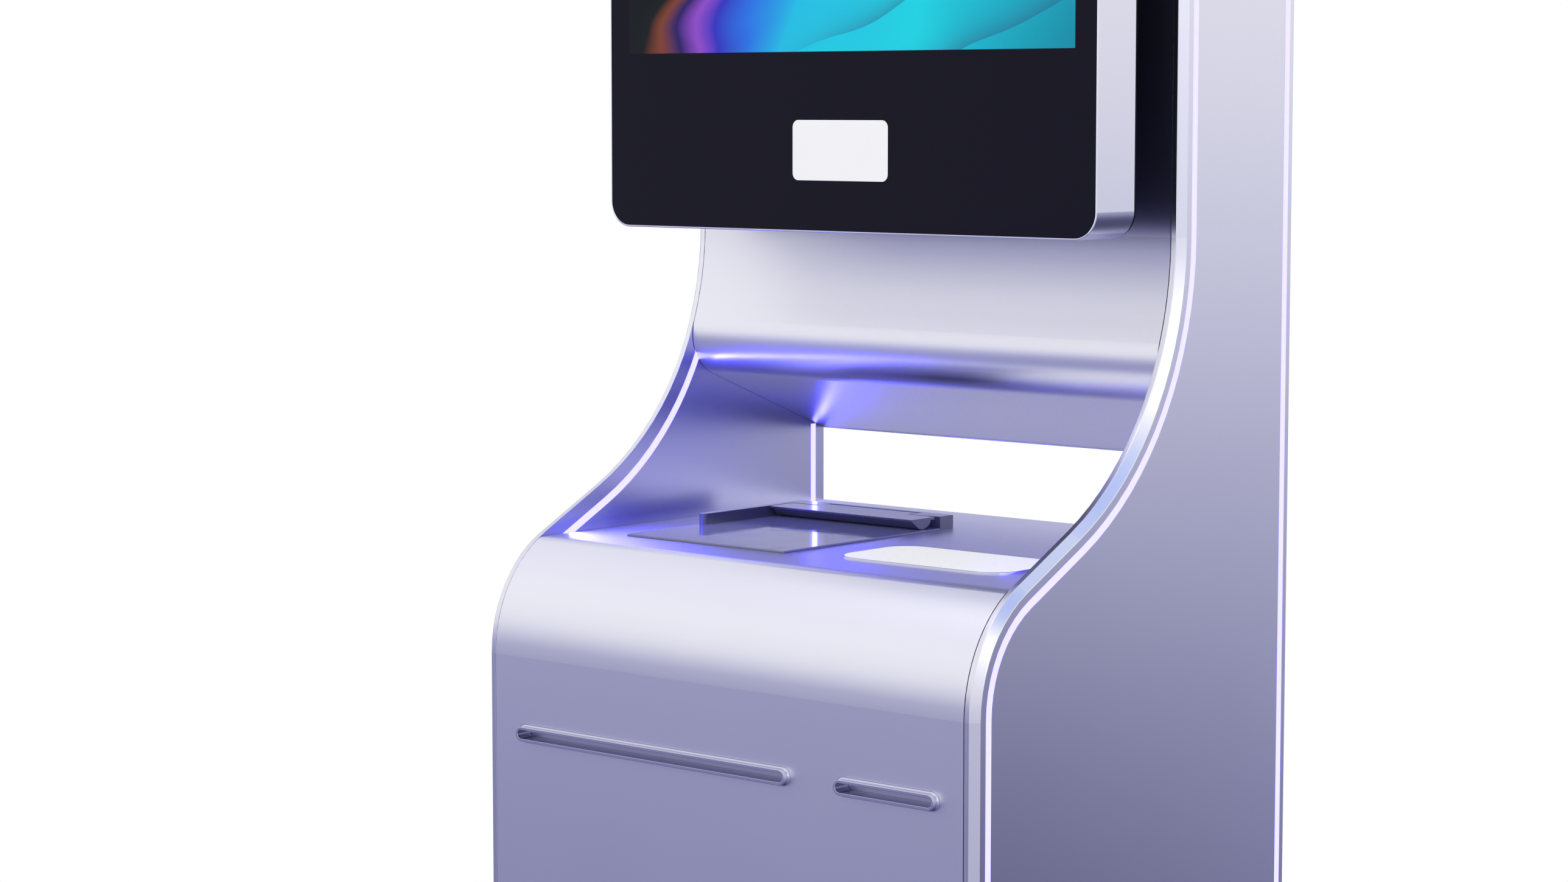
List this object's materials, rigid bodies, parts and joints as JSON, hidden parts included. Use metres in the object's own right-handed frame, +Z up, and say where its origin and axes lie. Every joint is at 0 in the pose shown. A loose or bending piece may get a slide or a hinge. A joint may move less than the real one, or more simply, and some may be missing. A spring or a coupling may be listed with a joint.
{
  "type": "atm machine",
  "caption": "Free-standing banking kiosk with an S-shaped lit body, monitor, document scanner, cash and receipt slots and a rear service door.",
  "frame": {"origin": "on the floor, under the middle of the machine", "axes": "+Z up, the customer stands on the -Y side, +X to the customer's right"},
  "size_m": [0.526, 0.4386, 1.6],
  "materials": {
    "panel_metal": "satin, lilac-silver",
    "sheet_metal": "satin, lilac-silver, rolled sheet",
    "bezel_metal": "satin, lilac-silver, cast",
    "led_diffuser": "opal diffuser, lit",
    "zinc_steel": "zinc plated",
    "black_steel": "fine-texture powder coat",
    "steel": "bright",
    "grey_paint": "semi-gloss paint",
    "black_plastic": "fine moulded texture",
    "white_plastic": "satin white",
    "scanner_plastic": "satin, violet-grey",
    "rubber": "matt",
    "paper": "uncoated paper",
    "front_glass": "black-backed, polished",
    "scan_glass": "polished",
    "brass": "turned"
  },
  "bodies": {
    "cabinet": {"back_panel": "sheet_metal", "base_plate": "black_steel", "bay_led_strips": "led_diffuser", "bracket_bolts": "steel", "cash_cassettes": "black_plastic", "cassette_rack": "zinc_steel", "controller": "black_steel", "desk_pad": "white_plastic", "desk_pad_rim": "bezel_metal", "dispenser_bezel": "bezel_metal", "door_frame": "zinc_steel", "equipment_shelves": "zinc_steel", "fan_frame": "black_plastic", "front_fascia": "sheet_metal", "hinge_fixed_leaves": "steel", "hinge_pins": "steel", "hold_down_pin": "steel", "lcd_panel": "black_steel", "led_driver": "black_plastic", "left_side_panel": "panel_metal", "lower_frame": "black_steel", "mains_inlet": "black_plastic", "monitor_bracket": "black_steel", "monitor_glass": "front_glass", "monitor_housing": "panel_metal", "monitor_rear_cover": "black_plastic", "note_chute": "zinc_steel", "note_transport": "grey_paint", "outer_led_strips": "led_diffuser", "paper_holder": "black_plastic", "plinth": "black_steel", "power_supply": "zinc_steel", "reader_module": "black_plastic", "reader_window": "white_plastic", "rear_screws": "steel", "rear_service_panel": "sheet_metal", "rear_upper_cover": "sheet_metal", "receipt_bezel": "bezel_metal", "receipt_printer": "zinc_steel", "right_side_panel": "panel_metal", "scanner_frame": "scanner_plastic", "scanner_glass": "scan_glass", "scanner_housing": "black_plastic", "scanner_tray": "scanner_plastic", "shutter_guides": "black_plastic", "top_cap": "sheet_metal", "upper_frame": "black_steel"},
    "rear_door": {"rear_door": "sheet_metal", "hinge_door_leaves": "steel", "lock_barrel": "steel"},
    "lock": {"lock_cam": "brass"},
    "cash_gate": {"dispenser_shutter": "grey_paint"},
    "receipt_gate": {"receipt_shutter": "grey_paint"},
    "lower_feed": {"lower_feed_roller": "rubber"},
    "upper_feed": {"upper_feed_roller": "rubber"},
    "platen": {"platen_roller": "rubber"},
    "roll": {"paper_roll": "paper"},
    "hold_down": {"hold_down_bar": "scanner_plastic"},
    "fan": {"fan_rotor": "black_plastic"},
    "rocker": {"power_switch": "black_plastic"}
  },
  "joints": [
    {"name": "rear_door_hinge", "type": "hinge", "parent": "cabinet", "child": "rear_door", "pos_m": [0.23725, 0.2162, 0.477], "axis": [0, 0, -1], "range_deg": [0, 110]},
    {"name": "lock_turn", "type": "hinge", "parent": "rear_door", "child": "lock", "pos_m": [-0.205, 0.2, 0.48], "axis": [0, 1, 0], "range_deg": [0, 90]},
    {"name": "cash_gate_slide", "type": "slide", "parent": "cabinet", "child": "cash_gate", "axis": [0, 0, 1], "range_m": [0, 0.0142]},
    {"name": "receipt_gate_slide", "type": "slide", "parent": "cabinet", "child": "receipt_gate", "axis": [0, 0, 1], "range_m": [0, 0.0142]},
    {"name": "lower_feed_spin", "type": "hinge", "parent": "cabinet", "child": "lower_feed", "pos_m": [-0.075, -0.15, 0.6929], "axis": [1, 0, 0], "continuous": true},
    {"name": "upper_feed_spin", "type": "hinge", "parent": "cabinet", "child": "upper_feed", "pos_m": [-0.075, -0.15, 0.7093], "axis": [1, 0, 0], "continuous": true},
    {"name": "platen_spin", "type": "hinge", "parent": "cabinet", "child": "platen", "pos_m": [0.176, -0.14, 0.6918], "axis": [1, 0, 0], "continuous": true},
    {"name": "paper_spin", "type": "hinge", "parent": "cabinet", "child": "roll", "pos_m": [0.176, -0.05, 0.63], "axis": [1, 0, 0], "continuous": true},
    {"name": "hold_down_hinge", "type": "hinge", "parent": "cabinet", "child": "hold_down", "pos_m": [-0.1065, 0.109, 0.8674], "axis": [-1, 0, 0], "range_deg": [0, 75]},
    {"name": "fan_spin", "type": "hinge", "parent": "cabinet", "child": "fan", "pos_m": [0, 0.197, 1.5], "axis": [0, 1, 0], "continuous": true},
    {"name": "rocker_tip", "type": "hinge", "parent": "cabinet", "child": "rocker", "pos_m": [-0.148, 0.21, 0.0865], "axis": [0, 0, -1], "range_deg": [0, 16]}
  ],
  "couplings": [
    {"joint": "upper_feed_spin", "follows": "lower_feed_spin", "ratio": -1}
  ]
}
